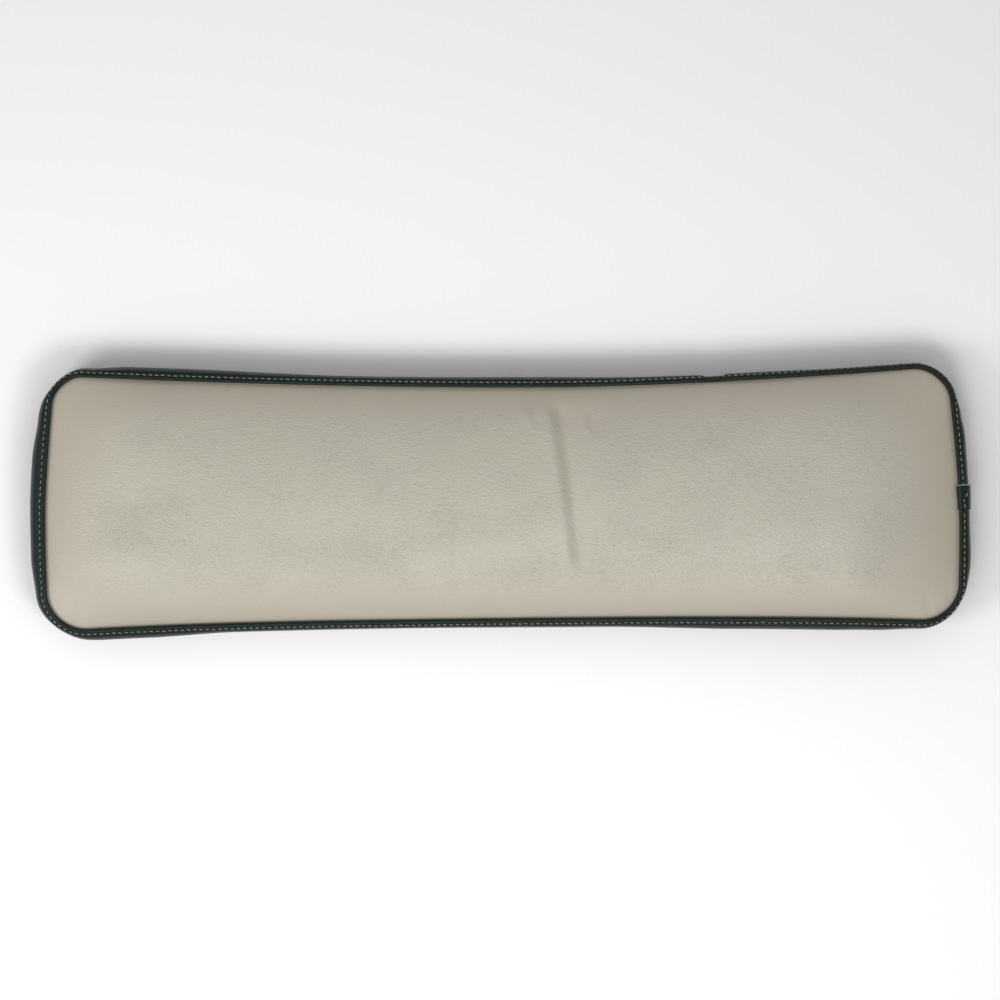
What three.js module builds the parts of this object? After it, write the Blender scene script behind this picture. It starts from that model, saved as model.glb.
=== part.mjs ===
// A long back cushion: a crowned face of pale coated cloth over its filling, a dark side band
// that is topstitched beside the face seam and lapped over its own start, and a plain back panel.
// Millimetres, +Z up. The cushion lies on its back: X runs along its length, +Y towards its top
// edge, and the origin is the middle of the back panel's underside.
import * as THREE from "three";
import { ParametricGeometry } from "three/addons/geometries/ParametricGeometry.js";

// The face panel's plan, at the seam.
const HALF_LENGTH = 450;
const HALF_WIDTH = 127.5;
const CENTRE = { x: 1.9, y: 1.2 }; // of the face's plan, from the origin
const TAPER = 0.009; // share by which the top edge is shorter and the bottom edge longer
const DRAWN_IN = {
  top: { depth: 16.8, power: 1.7, middle: 59 },
  bottom: { depth: 7.6, power: 3, middle: -15 },
};
const END_BULGE = {
  top: { out: 6.8, power: 1.4 },
  bottom: { out: 6.8, power: 1.7 },
};
const CORNER_RADIUS = {
  top: { left: 29, right: 34 },
  bottom: { left: 38, right: 37 },
};

// Heights.
const SEAM_HEIGHT = 50;
const CORNER_DROP = 3; // how much lower the seam runs at the corners
const CROWN = 30;
const ACROSS_POWER = 3; // over 2 makes the crown flatter along its middle and steeper at the seam
const END_SLOPE = { length: 104, power: 1.4 };
const EDGE_POWER = 8; // how tightly the bulge and the drop keep to the ends and corners

// The one long soft fold across the face, right of the middle: it rises slowly to a crest, drops
// on the right of it and comes back slowly.
const FOLD = { height: 1.2, width: 8, rise: 1.5, drop: 2.2, x: 59, lean: -0.118, bend: -0.0002 };
const FOLD_ENDS = { top: 112, bottom: -52, fade: 30 };

// The cloth and its seams.
const CLOTH = 2;
const GAP = 0.3; // between pieces that touch
const BEHIND_BAND = 1; // between the filling's side and the band, out of sight
const FACE_EDGE = { out: -0.4, up: -5 }; // where the face goes down into the seam
const LAP_FOOT = { out: 0.1, up: -5.4 }; // the band's lower edge in the seam
const LAP_PIVOT = { out: 0.3, up: -2 }; // where the lap leans over from
const LAP = [
  { out: 0.5, up: 0.1 },
  { out: 2.6, up: 0.9 },
  { out: 5.3, up: -0.5 },
];
const LEAN = { degrees: 60, from: 9, over: 4.5 }; // the lap leans over where the band stands out little
const WIDEST_DROP = 16; // from the seam down to where the band stands out most
const TURN_ANGLES = [35, 65, 90];
const BACK_REACH = 5; // how far the back's edge stands out past the seam
const SIDE = [
  { share: 0.75, height: 22 }, // share of the stand-out that is left at this height
  { share: 0.3, height: 10 },
];
const HEEL = { out: 0.5, height: 2.4 };
const HEM = { out: -7, height: 0.6 }; // the band's turned-in edge, just clear of the floor
const BACK_THICKNESS = 2.6;
const BACK_EDGE = -7.9; // the panel's edge from the seam's plan, inside the band's hem
const BODY_FLOOR = BACK_THICKNESS + GAP;
const BODY_INSET = 8; // of the filled body's underside, inside the seam's plan
const UNDERSIDE_SHARE = {
  along: 1 - BODY_INSET / HALF_LENGTH,
  across: 1 - BODY_INSET / HALF_WIDTH,
};

// How far the band stands out past the seam, round the rim from the middle of the right end.
const STAND_OUT = [
  { at: 0, out: 11.2 },
  { at: 60, out: 12 },
  { at: 80, out: 10 },
  { at: 100, out: 6.8 },
  { at: 140, out: 5.5 },
  { at: 200, out: 6 },
  { at: 320, out: 8 },
  { at: 348, out: 8 },
  { at: 356, out: 5.6 },
  { at: 368, out: 5.6 },
  { at: 376, out: 8 },
  { at: 410, out: 8.5 },
  { at: 545, out: 10.8 },
  { at: 725, out: 10.2 },
  { at: 905, out: 13 },
  { at: 950, out: 12.8 },
  { at: 995, out: 9.8 },
  { at: 1030, out: 6.8 },
  { at: 1070, out: 13.5 },
  { at: 1110, out: 16.5 },
  { at: 1210, out: 15.5 },
  { at: 1250, out: 12 },
  { at: 1290, out: 9 },
  { at: 1335, out: 11.8 },
  { at: 1380, out: 11.8 },
  { at: 1470, out: 9.2 },
  { at: 1650, out: 8.8 },
  { at: 1830, out: 9.5 },
  { at: 1965, out: 12 },
  { at: 2055, out: 12.2 },
  { at: 2100, out: 11.5 },
  { at: 2145, out: 9.2 },
  { at: 2195, out: 7.3 },
  { at: 2245, out: 12.5 },
  { at: 2285, out: 11.5 },
];

// The band's lapped end on the right end of the cushion: Y of its ends, thickness at each.
const JOIN = { low: -16, high: 8, lowThickness: 0.9, highThickness: 2, steps: 3 };

// Where the face's rows and columns of points run, before the plan is shaped.
const CORNER_BLOCK = 38;
const COLUMNS = [
  { to: -HALF_LENGTH + CORNER_BLOCK, steps: 5 },
  { to: 40, steps: 9 },
  { to: 100, steps: 12 },
  { to: HALF_LENGTH - CORNER_BLOCK, steps: 7 },
  { to: HALF_LENGTH, steps: 5 },
];
const ROWS = [
  { to: -HALF_WIDTH + CORNER_BLOCK, steps: 5 },
  { to: JOIN.low, steps: 4 },
  { to: JOIN.high, steps: JOIN.steps },
  { to: HALF_WIDTH - CORNER_BLOCK, steps: 4 },
  { to: HALF_WIDTH, steps: 5 },
];

const FACE_COLOUR = 0xc6c2b1;
const BAND_COLOUR = 0x1e2e28;

// Coordinates from start through each row's end, in even steps.
function stops(start, rows) {
  const found = [start];
  for (const row of rows) {
    const from = found[found.length - 1];
    for (let i = 1; i <= row.steps; i++) found.push(from + ((row.to - from) * i) / row.steps);
  }
  return found;
}

const xs = stops(-HALF_LENGTH, COLUMNS);
const ys = stops(-HALF_WIDTH, ROWS);

// A point of the plain rectangle, moved to its place in the real plan.
function place(x, y) {
  const edge = y > 0 ? "top" : "bottom";
  const radius = CORNER_RADIUS[edge][x > 0 ? "right" : "left"];
  const u = (Math.abs(x) - HALF_LENGTH) / radius + 1;
  const v = (Math.abs(y) - HALF_WIDTH) / radius + 1;
  if (u > 0 && v > 0) {
    x = Math.sign(x) * (HALF_LENGTH - radius + radius * u * Math.sqrt(1 - (v * v) / 2));
    y = Math.sign(y) * (HALF_WIDTH - radius + radius * v * Math.sqrt(1 - (u * u) / 2));
  }
  const across = y / HALF_WIDTH;
  const end = END_BULGE[edge];
  const bulge =
    end.out * Math.abs(x / HALF_LENGTH) ** EDGE_POWER * (1 - Math.abs(across) ** end.power);
  const side = DRAWN_IN[edge];
  const reach = (x - side.middle) / (HALF_LENGTH * Math.sign(x - side.middle) - side.middle);
  const draw = side.depth * (1 - Math.abs(reach) ** side.power);
  return new THREE.Vector2(
    CENTRE.x + x * (1 - TAPER * across) + Math.sign(x) * bulge,
    CENTRE.y + y - across * draw,
  );
}

function seamHeight(x, y) {
  return SEAM_HEIGHT - CORNER_DROP * Math.abs((x / HALF_LENGTH) * (y / HALF_WIDTH)) ** EDGE_POWER;
}

// The fold's crest and the trough on its right, at a point of the real plan.
function foldHeight(point) {
  const line = FOLD.x + FOLD.lean * point.y + FOLD.bend * point.y ** 2;
  const across = (point.x - line) / FOLD.width;
  const shown =
    THREE.MathUtils.smoothstep(point.y, FOLD_ENDS.bottom - FOLD_ENDS.fade, FOLD_ENDS.bottom) *
    (1 - THREE.MathUtils.smoothstep(point.y, FOLD_ENDS.top - FOLD_ENDS.fade, FOLD_ENDS.top));
  const profile =
    across < 0 ? Math.exp(across / FOLD.rise) : (1 - FOLD.drop * across) * Math.exp(-across);
  return FOLD.height * shown * profile;
}

// The face's height over the seam, at a point of the plain rectangle.
function crownHeight(x, y) {
  const fromEnd = Math.min(1, (HALF_LENGTH - Math.abs(x)) / END_SLOPE.length);
  const along = 1 - (1 - fromEnd) ** END_SLOPE.power;
  const across = 1 - Math.abs(y / HALF_WIDTH) ** ACROSS_POWER;
  return CROWN * along * across;
}

// The rim is walked from the middle of the right end, by way of the top edge.
const RIM = 4 * (HALF_LENGTH + HALF_WIDTH);

// The plain rectangle's point at a distance round the rim.
function rimPoint(at) {
  const walked = THREE.MathUtils.euclideanModulo(at, RIM);
  const corners = [
    { x: HALF_LENGTH, y: 0 },
    { x: HALF_LENGTH, y: HALF_WIDTH },
    { x: -HALF_LENGTH, y: HALF_WIDTH },
    { x: -HALF_LENGTH, y: -HALF_WIDTH },
    { x: HALF_LENGTH, y: -HALF_WIDTH },
    { x: HALF_LENGTH, y: 0 },
  ];
  let left = walked;
  for (let i = 1; i < corners.length; i++) {
    const a = corners[i - 1];
    const b = corners[i];
    const length = Math.abs(b.x - a.x) + Math.abs(b.y - a.y);
    if (left <= length || i === corners.length - 1) {
      const share = left / length;
      return { x: a.x + (b.x - a.x) * share, y: a.y + (b.y - a.y) * share };
    }
    left -= length;
  }
}

// How far round the rim a point of the plain rectangle's edge lies.
function rimDistance(x, y) {
  if (x === HALF_LENGTH) return THREE.MathUtils.euclideanModulo(y, RIM);
  if (y === HALF_WIDTH) return HALF_WIDTH + HALF_LENGTH - x;
  if (x === -HALF_LENGTH) return 2 * HALF_WIDTH + 2 * HALF_LENGTH - y;
  return 3 * HALF_WIDTH + 3 * HALF_LENGTH + x;
}

// The seam's place, its outward direction and the band's stand-out at a distance round the rim.
function rim(at) {
  const plain = rimPoint(at);
  const before = rimPoint(at - 0.5);
  const after = rimPoint(at + 0.5);
  const way = place(after.x, after.y).sub(place(before.x, before.y)).normalize();
  const walked = THREE.MathUtils.euclideanModulo(at, RIM);
  const next = STAND_OUT.findIndex((row) => row.at > walked);
  const a = STAND_OUT[next < 0 ? STAND_OUT.length - 1 : next - 1];
  const b = next < 0 ? { at: RIM, out: STAND_OUT[0].out } : STAND_OUT[next];
  return {
    seam: place(plain.x, plain.y),
    outward: new THREE.Vector2(way.y, -way.x),
    height: seamHeight(plain.x, plain.y),
    standOut: a.out + (b.out - a.out) * THREE.MathUtils.smoothstep(walked, a.at, b.at),
  };
}

// The band's outer section at a place on the rim, from the seam to the hem: out past the seam, height.
function bandSection({ standOut, height }) {
  const turn = (LEAN.from - standOut) / LEAN.over;
  const lean = -THREE.MathUtils.degToRad(LEAN.degrees * THREE.MathUtils.clamp(turn, 0, 1));
  const pivot = new THREE.Vector2(LAP_PIVOT.out, LAP_PIVOT.up);
  const lap = LAP.map((row) => new THREE.Vector2(row.out, row.up).rotateAround(pivot, lean));
  const stitch = lap[lap.length - 1];
  const turned = TURN_ANGLES.map((degrees) => {
    const angle = THREE.MathUtils.degToRad(degrees);
    return new THREE.Vector2(
      stitch.x + (standOut - stitch.x) * Math.sin(angle),
      stitch.y - (stitch.y + WIDEST_DROP) * (1 - Math.cos(angle)),
    );
  });
  const foot = new THREE.Vector2(LAP_FOOT.out, LAP_FOOT.up);
  const upper = [foot, ...lap, ...turned].map((p) => new THREE.Vector2(p.x, height + p.y));
  const side = SIDE.map(
    (row) =>
      new THREE.Vector2(BACK_REACH + (standOut - BACK_REACH) * row.share, row.height),
  );
  return [
    ...upper,
    ...side,
    new THREE.Vector2(HEEL.out, HEEL.height),
    new THREE.Vector2(HEM.out, HEM.height),
  ];
}

// The section again, moved by a distance towards the cloth's outer side.
function offset(section, distance) {
  return section.map((point, i) => {
    const before = section[Math.max(i - 1, 0)];
    const after = section[Math.min(i + 1, section.length - 1)];
    const way = after.clone().sub(before).normalize();
    return new THREE.Vector2(point.x - way.y * distance, point.y + way.x * distance);
  });
}

function atRim(station, out, height) {
  const point = station.seam.clone().addScaledVector(station.outward, out);
  return new THREE.Vector3(point.x, point.y, height);
}

// The distances round the rim of the face's own edge points, so that all pieces share them.
function rimStations() {
  const found = new Set();
  for (const x of xs) {
    found.add(rimDistance(x, HALF_WIDTH));
    found.add(rimDistance(x, -HALF_WIDTH));
  }
  for (const y of ys) {
    found.add(rimDistance(HALF_LENGTH, y));
    found.add(rimDistance(-HALF_LENGTH, y));
  }
  return [...found].sort((a, b) => a - b);
}

const FIRST_UNDER_LAP = LAP.length; // the section's index of the stitch line
const SECTION_ROWS = 1 + LAP.length + TURN_ANGLES.length + SIDE.length + 2;

// A box of unit cells with every corner of its cells moved by a rule.
function shapedBox(columns, rows, layers, move) {
  const geometry = new THREE.BoxGeometry(columns, rows, layers, columns, rows, layers);
  geometry.translate(columns / 2, rows / 2, layers / 2);
  const position = geometry.getAttribute("position");
  for (let n = 0; n < position.count; n++) {
    const cell = [position.getX(n), position.getY(n), position.getZ(n)].map(Math.round);
    const moved = move(...cell);
    position.setXYZ(n, moved.x, moved.y, moved.z);
  }
  geometry.computeVertexNormals();
  return geometry;
}

// The filled body: the face on top, its edge in the seam, and sides that back the band.
function bodyGeometry() {
  const columns = xs.length - 1;
  const rows = ys.length - 1;
  const sideRings = SECTION_ROWS - FIRST_UNDER_LAP - 1;
  const layers = sideRings + 2;
  return shapedBox(columns, rows, layers, (i, j, k) => {
    const x = xs[i];
    const y = ys[j];
    const onRim = i === 0 || i === columns || j === 0 || j === rows;
    if (!onRim && k === 0) {
      const under = place(x * UNDERSIDE_SHARE.along, y * UNDERSIDE_SHARE.across);
      return new THREE.Vector3(under.x, under.y, BODY_FLOOR);
    }
    if (!onRim) {
      const point = place(x, y);
      const base = seamHeight(x, y) + FACE_EDGE.up;
      return new THREE.Vector3(point.x, point.y, base + crownHeight(x, y) + foldHeight(point));
    }
    const station = rim(rimDistance(x, y));
    if (k === 0) return atRim(station, -BODY_INSET, BODY_FLOOR);
    if (k === layers) return atRim(station, FACE_EDGE.out, station.height + FACE_EDGE.up);
    const section = bandSection(station);
    const inner = offset(section, -CLOTH - BEHIND_BAND);
    if (k === layers - 1) {
      const foot = section[0];
      return atRim(station, foot.x - GAP, foot.y - BEHIND_BAND);
    }
    const ring = inner[FIRST_UNDER_LAP + layers - 2 - k];
    return atRim(station, ring.x, Math.max(ring.y, BODY_FLOOR + GAP));
  });
}

// The band: one strip of cloth all round, closed into a ring.
function bandGeometry() {
  const stations = rimStations().map(rim);
  const loops = stations.map((station) => {
    const outer = bandSection(station);
    const inner = offset(outer, -CLOTH).slice(FIRST_UNDER_LAP).reverse();
    return [...outer, ...inner].map((point) => atRim(station, point.x, point.y));
  });
  const around = loops.length;
  const through = loops[0].length;
  return new ParametricGeometry(
    (u, v, target) => {
      const loop = loops[Math.round(u * around) % around];
      target.copy(loop[Math.round((1 - v) * through) % through]);
    },
    around,
    through,
  );
}

// The band's lapped end: a short second layer over the band, thickest at its folded edge.
function joinGeometry() {
  const rows = SECTION_ROWS - 4;
  return shapedBox(JOIN.steps, rows, 1, (i, j, k) => {
    const share = i / JOIN.steps;
    const station = rim(JOIN.low + (JOIN.high - JOIN.low) * share);
    const thickness = JOIN.lowThickness + (JOIN.highThickness - JOIN.lowThickness) * share;
    const section = offset(bandSection(station), GAP + k * thickness);
    const point = section[1 + rows - j];
    return atRim(station, point.x, point.y);
  });
}

// The plain back panel, inside the band's turned-in edge.
function backGeometry() {
  const edge = rimStations().map((at) => {
    const station = rim(at);
    return station.seam.clone().addScaledVector(station.outward, BACK_EDGE);
  });
  return new THREE.ExtrudeGeometry(new THREE.Shape(edge), {
    depth: BACK_THICKNESS,
    bevelEnabled: false,
  });
}

function piece(name, geometry, colour) {
  const material = new THREE.MeshStandardMaterial({ color: colour, roughness: 0.5, metalness: 0 });
  const mesh = new THREE.Mesh(geometry, material);
  mesh.name = name;
  return mesh;
}

const cushion = new THREE.Group();
cushion.add(piece("filled_face", bodyGeometry(), FACE_COLOUR));
cushion.add(piece("side_band", bandGeometry(), BAND_COLOUR));
cushion.add(piece("band_lap_end", joinGeometry(), BAND_COLOUR));
cushion.add(piece("back_panel", backGeometry(), BAND_COLOUR));

export default cushion;
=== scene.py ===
import math

import bmesh
import bpy
import numpy as np
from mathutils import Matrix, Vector, noise


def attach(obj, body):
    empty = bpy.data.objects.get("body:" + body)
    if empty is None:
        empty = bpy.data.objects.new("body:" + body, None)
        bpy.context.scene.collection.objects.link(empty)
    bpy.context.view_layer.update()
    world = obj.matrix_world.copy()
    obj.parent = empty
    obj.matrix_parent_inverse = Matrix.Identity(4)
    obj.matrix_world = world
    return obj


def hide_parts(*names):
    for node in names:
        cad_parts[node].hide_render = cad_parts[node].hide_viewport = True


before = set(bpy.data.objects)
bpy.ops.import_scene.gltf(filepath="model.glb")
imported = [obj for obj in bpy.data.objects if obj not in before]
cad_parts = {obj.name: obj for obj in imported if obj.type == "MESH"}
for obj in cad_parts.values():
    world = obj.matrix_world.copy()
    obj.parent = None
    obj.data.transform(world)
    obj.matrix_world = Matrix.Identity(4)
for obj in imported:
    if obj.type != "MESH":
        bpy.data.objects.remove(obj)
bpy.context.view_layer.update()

bl_info = {
    "name": "Bench Back Cushion",
    "version": (1, 0, 0),
    "blender": (4, 5, 0),
    "location": "3D View > Sidebar > Back Cushion",
    "description": "A long back cushion with a crowned face, a topstitched side band and its lap",
    "category": "Add Mesh",
}

MM = 0.001

# The face panel's plan at the seam, in millimetres, as in the solids.
HALF_LENGTH = 450
HALF_WIDTH = 127.5
CENTRE = (1.9, 1.2)
TAPER = 0.009
TOP_EDGE = {"depth": 16.8, "power": 1.7, "middle": 59, "end_out": 6.8, "end_power": 1.4}
BOTTOM_EDGE = {"depth": 7.6, "power": 3, "middle": -15, "end_out": 6.8, "end_power": 1.7}
CORNER_RADIUS = {"top_left": 29, "top_right": 34, "bottom_left": 38, "bottom_right": 37}
EDGE_POWER = 8

# Heights of the face over the floor and over its seam.
CORNER_DROP = 3
ACROSS_POWER = 3
END_SLOPE = {"length": 104, "power": 1.4}

# Folds of the face: the crest crosses y = 0 at x, runs from low to high and fades at both ends.
FOLDS = [
    {
        "x": 59, "lean": -0.118, "bend": -0.0002,
        "low": -52, "high": 112, "fade": 30, "width": 15, "share": 1,
    },
    {
        "x": 52, "lean": -0.29, "bend": 0,
        "low": 80, "high": 112, "fade": 12, "width": 8, "share": 0.25,
    },
    {
        "x": 117, "lean": -0.42, "bend": 0,
        "low": 72, "high": 98, "fade": 12, "width": 8, "share": 0.2,
    },
]
# A fold rises slowly to its crest, drops below the face over its width and comes back slowly. The
# rise and the way back are in widths, and the drop is in heights of the crest.
FOLD_RISE = 1.2
FOLD_BELOW = 1.9
FOLD_BACK = 1.7
# Soft pulls that run down from the top seam: they start at low and are full at high.
PULLS = {
    "middle": -25, "reach": 210, "full_share": 0.6, "spacing": 21, "length": 160, "height": 0.7,
    "low": 50.5, "high": 107.5, "pattern": 3.7,
}
# The soft roll where each end's slope meets the flat of the face.
END_ROLL = {"from_end": 104, "width": 26, "height": 0.7, "across_power": 4}
# The unevenness of the filling.
UNEVEN = {"spacing": 70, "across_share": 0.7, "height": 0.5, "pattern": 9.1}
# The rise over the seam, as a share of the seam's height, at which all of these reach their full height.
DETAIL_RISE = 0.25

# The lapped edge of the band: its foot in the seam, the point it turns about as it leans, and its
# places before it leans, each out past the seam and up from it. It leans where the band stands out
# less than a distance, and fully where it stands out less by another.
LAP_FOOT = (0.1, -4.4)
LAP_PIVOT = (0.3, -2.6)
LAP = [(0.2, -1.0), (0.5, 0.2), (1.5, 0.85), (2.9, 0.95), (4.3, 0.35), (5.3, -0.45), (6.2, -0.2)]
STITCH_ROW = 5
LEAN = {"degrees": 60, "from": 9, "over": 4.5}

# The rest of the band's section: the drop from the seam to its widest line and the turn down to it,
# its side as shares of the stand-out and heights over the floor, and its heel and hem as places out
# past the seam and heights over the floor.
WIDEST_DROP = 16
TURN_ANGLES = (25, 45, 65, 90)
BACK_REACH = 5
SIDE = [(0.75, 22), (0.3, 10)]
HEEL = (0.5, 2.4)
HEM = (-7, 0.6)
CLOTH = 2

# How far the band stands out past the seam, round the rim from the middle of the right end.
# Each pair: distance round the rim, stand-out.
STAND_OUT = [
    (0, 11.2), (60, 12), (80, 10), (100, 6.8), (140, 5.5), (200, 6),
    (320, 8), (348, 8), (356, 5.6), (368, 5.6), (376, 8), (410, 8.5),
    (545, 10.8), (725, 10.2), (905, 13), (950, 12.8), (995, 9.8), (1030, 6.8),
    (1070, 13.5), (1110, 16.5), (1210, 15.5), (1250, 12), (1290, 9), (1335, 11.8),
    (1380, 11.8), (1470, 9.2), (1650, 8.8), (1830, 9.5), (1965, 12), (2055, 12.2),
    (2100, 11.5), (2145, 9.2), (2195, 7.3), (2245, 12.5), (2285, 11.5), (2310, 11.2),
]
RIM = 4 * (HALF_LENGTH + HALF_WIDTH)

# The mesh of the band: its step round the rim, and smooth points between two rows of its section.
BAND_STEP = 1.5
BAND_SMOOTH = 3
# The dimple that each end of a stitch pulls into the band.
DIMPLE = {"reach": 1.1, "depth": 0.4}

# The filled face: its grid's cell, the rings down its side, its gap behind the band's cloth, its
# edge out past the seam and up from it, and its gap to the lap's foot. Its underside is drawn in
# and lies over the back panel.
PAD_CELL = 5
PAD_RINGS = 7
BEHIND_BAND = 1
FACE_EDGE = (-0.3, -4)
FOOT_GAP = (0.3, 0.6)
BODY_FLOOR = 2.9
LEAST_RISE = 0.3
BODY_INSET = 8
# The cloth's swelling: the crown it starts from, as a share of the finished one, and the most
# that a point may move, in millimetres.
SWELL = {"start": 0.9, "most": 5.5, "pressure": 4.0, "frames": 20, "mass": 0.4, "quality": 4}
# How much of its grain the face loses at its seam and how much painted shade it takes there, and the rise
# over the seam that brings both back.
CALM_AND_SHADE = {"share": 0.8, "rise": (0, 19)}

# The back panel: its thickness, its edge out past the seam, its grid and the rounding of its edges.
BACK_THICKNESS = 2.6
BACK_EDGE = -7.9
BACK_GRID = (150, 44)
BACK_BEVEL = {"width": 0.9, "segments": 3}

# The band's lapped end: where it starts and stops round the rim, its thickness there, and its gap
# over the band beneath. Its grid, and how its fold and its edge at the seam are rounded.
JOIN = {"low": -16, "high": 8, "low_thickness": 0.9, "high_thickness": 2, "clear": 0.3}
LAP_GRID = (28, 36)
LAP_ROUND = {"fold_from": 0.93, "fold_over": 0.07, "seam_rows": 3, "least": 0.35}

# A topstitch: half its length as a share of the pitch, its back's lift over the band, the dip of
# its ends, its slant and sag along the band, and how much of each the hand varies.
STITCH = {
    "half": 0.35, "half_varies": 0.02, "slips": 0.12, "side_slips": 0.1, "slant": 0.1,
    "slant_varies": 0.1, "sag": 0.3, "lift": 0.42, "dip": 1.5, "end_power": 5, "flat": 0.85,
    "darkening": 0.3, "darkening_varies": 0.25, "seed": 7, "lengthwise": 8, "around": 6,
}
SEAM_SAMPLES = 9240

# The thread sewn across the lap: the section's rows it runs over, its points, its lift over the
# band beneath and its waves.
CROSS_THREAD = {"rows": (3, 32), "points": 22, "past": 0.2, "lift": 2.1, "wave": 0.25, "turns": 0.7}
# Slack stitches on the lap: start and end round the rim, section rows of both ends, rise.
LOOSE_STITCHES = [
    (4.5, 1.2, (26, 27), 0.8),
    (0.6, -3.2, (23, 21), 1.0),
    (-4.4, -8.4, (19.5, 18), 0.6),
    (-10.2, -14.4, (18, 18), 0.3),
    (-15.6, -16.8, (1.5, 5), 0.4),
]
LOOSE = {"points": 13, "lift": 0.2, "over_lap": 0.8, "thickness": 0.9, "end_power": 8}

# Two crossing sets of creases in the cloth: the turn of each, its scale along and across, its share.
CREASES = [
    {"turn": 0.3, "along": 0.11, "across": 0.42, "share": 1.0},
    {"turn": -0.2, "along": 0.2, "across": 0.62, "share": 0.55},
]
# The face's painted seam shade, darker where shade falls beside the band, with the cloth's warmer tone at its
# seams, as shares of its colour.
SEAM_SHADE_AND_TINT = (0.91, 0.865, 0.85)

# Square soft lights: degrees round and up from the cushion's middle, metres away and wide, watts.
LIGHTS = [
    {"name": "front_right", "around": 290, "up": 60, "distance": 1.5, "size": 0.5, "power": 6.6},
    {"name": "front", "around": 250, "up": 60, "distance": 1.5, "size": 0.5, "power": 2.4},
    {"name": "left", "around": 205, "up": 45, "distance": 2.0, "size": 0.7, "power": 12.0},
]
WORLD_STRENGTH = 0.56
FLOOR_SIZE = 20
# A long lens straight above the cushion: metres over its seam, and turn in radians.
CAMERA = {"distance": 6, "sensor": 36, "roll": -0.0113}

# How near to the plain rectangle's edge a point counts as on it.
ON_EDGE = 0.01


class CushionSizes(bpy.types.PropertyGroup):
    """Sizes of the cushion that a user may change."""

    seam_height: bpy.props.FloatProperty(
        name="Seam height",
        description="Height of the face's seam over the back",
        default=0.05,
        unit="LENGTH",
    )
    crown: bpy.props.FloatProperty(
        name="Crown",
        description="Height of the face's middle over its seam",
        default=0.029,
        unit="LENGTH",
    )
    fold_depth: bpy.props.FloatProperty(
        name="Fold depth",
        description="Height of the long fold's crest",
        default=0.0019,
        unit="LENGTH",
    )
    stitch_pitch: bpy.props.FloatProperty(
        name="Stitch pitch",
        description="Distance from one topstitch to the next",
        default=0.00625,
        unit="LENGTH",
    )
    thread: bpy.props.FloatProperty(
        name="Thread",
        description="Thickness of the topstitching thread",
        default=0.00085,
        unit="LENGTH",
    )


class CushionColours(bpy.types.PropertyGroup):
    """Colours of the cushion's cloths and thread."""

    face: bpy.props.FloatVectorProperty(
        name="Face",
        description="Pale coated cloth of the face",
        subtype="COLOR",
        default=(0.425, 0.404, 0.332),
    )
    band: bpy.props.FloatVectorProperty(
        name="Band",
        description="Dark coated cloth of the side band and back",
        subtype="COLOR",
        default=(0.0035, 0.0105, 0.0075),
    )
    thread: bpy.props.FloatVectorProperty(
        name="Thread",
        description="Topstitching thread",
        subtype="COLOR",
        default=(0.3, 0.29, 0.24),
    )
    floor: bpy.props.FloatVectorProperty(
        name="Floor",
        description="Plain floor that the cushion lies on",
        subtype="COLOR",
        default=(0.9, 0.9, 0.9),
    )


def sizes():
    return bpy.context.scene.cushion_sizes


def colours():
    return bpy.context.scene.cushion_colours


# Shape of the plan and of the band's section.


def smooth(value, low, high):
    share = np.clip((value - low) / (high - low), 0, 1)
    return share * share * (3 - 2 * share)


def place(x, y):
    """Plan of a point of the plain rectangle: corners rounded, edges drawn in, ends bulged."""
    top = y > 0
    right = x > 0
    radius = np.where(
        top,
        np.where(right, CORNER_RADIUS["top_right"], CORNER_RADIUS["top_left"]),
        np.where(right, CORNER_RADIUS["bottom_right"], CORNER_RADIUS["bottom_left"]),
    )
    u = np.clip((np.abs(x) - HALF_LENGTH) / radius + 1, 0, 1)
    v = np.clip((np.abs(y) - HALF_WIDTH) / radius + 1, 0, 1)
    corner = (u > 0) & (v > 0)
    round_x = np.sign(x) * (HALF_LENGTH - radius + radius * u * np.sqrt(1 - v * v / 2))
    round_y = np.sign(y) * (HALF_WIDTH - radius + radius * v * np.sqrt(1 - u * u / 2))
    x = np.where(corner, round_x, x)
    y = np.where(corner, round_y, y)
    across = y / HALF_WIDTH

    def of_edge(name):
        return np.where(top, TOP_EDGE[name], BOTTOM_EDGE[name])

    end_out = of_edge("end_out") * (1 - np.abs(across) ** of_edge("end_power"))
    bulge = end_out * np.abs(x / HALF_LENGTH) ** EDGE_POWER
    from_middle = x - of_edge("middle")
    reach = from_middle / (HALF_LENGTH * np.sign(from_middle + 1e-9) - of_edge("middle"))
    draw = of_edge("depth") * (1 - np.clip(np.abs(reach), 0, 1) ** of_edge("power"))
    return (
        CENTRE[0] + x * (1 - TAPER * across) + np.sign(x) * bulge,
        CENTRE[1] + y - across * draw,
    )


def seam_height(x, y):
    corner = np.abs(x / HALF_LENGTH * y / HALF_WIDTH) ** EDGE_POWER
    return sizes().seam_height / MM - CORNER_DROP * corner


def crown_height(x, y):
    from_end = np.minimum(1, (HALF_LENGTH - np.abs(x)) / END_SLOPE["length"])
    along = 1 - (1 - from_end) ** END_SLOPE["power"]
    across = 1 - np.abs(y / HALF_WIDTH) ** ACROSS_POWER
    return sizes().crown / MM * np.clip(along * across, 0, 1)


def fold_height(x, y):
    """Height of the folds at points of the real plan."""
    total = np.zeros_like(x)
    for fold in FOLDS:
        line = fold["x"] + fold["lean"] * y + fold["bend"] * y**2
        across = (x - line) / fold["width"]
        shown = smooth(y, fold["low"] - fold["fade"], fold["low"]) * (
            1 - smooth(y, fold["high"] - fold["fade"], fold["high"])
        )
        rise = np.exp(np.minimum(across, 0) / FOLD_RISE)
        below = FOLD_BELOW * np.exp(-np.maximum(across - 1, 0) / FOLD_BACK)
        drop = smooth(across, 0, 1)
        total += fold["share"] * shown * (rise * (1 - drop) - below * drop)
    return sizes().fold_depth / MM * total


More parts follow.
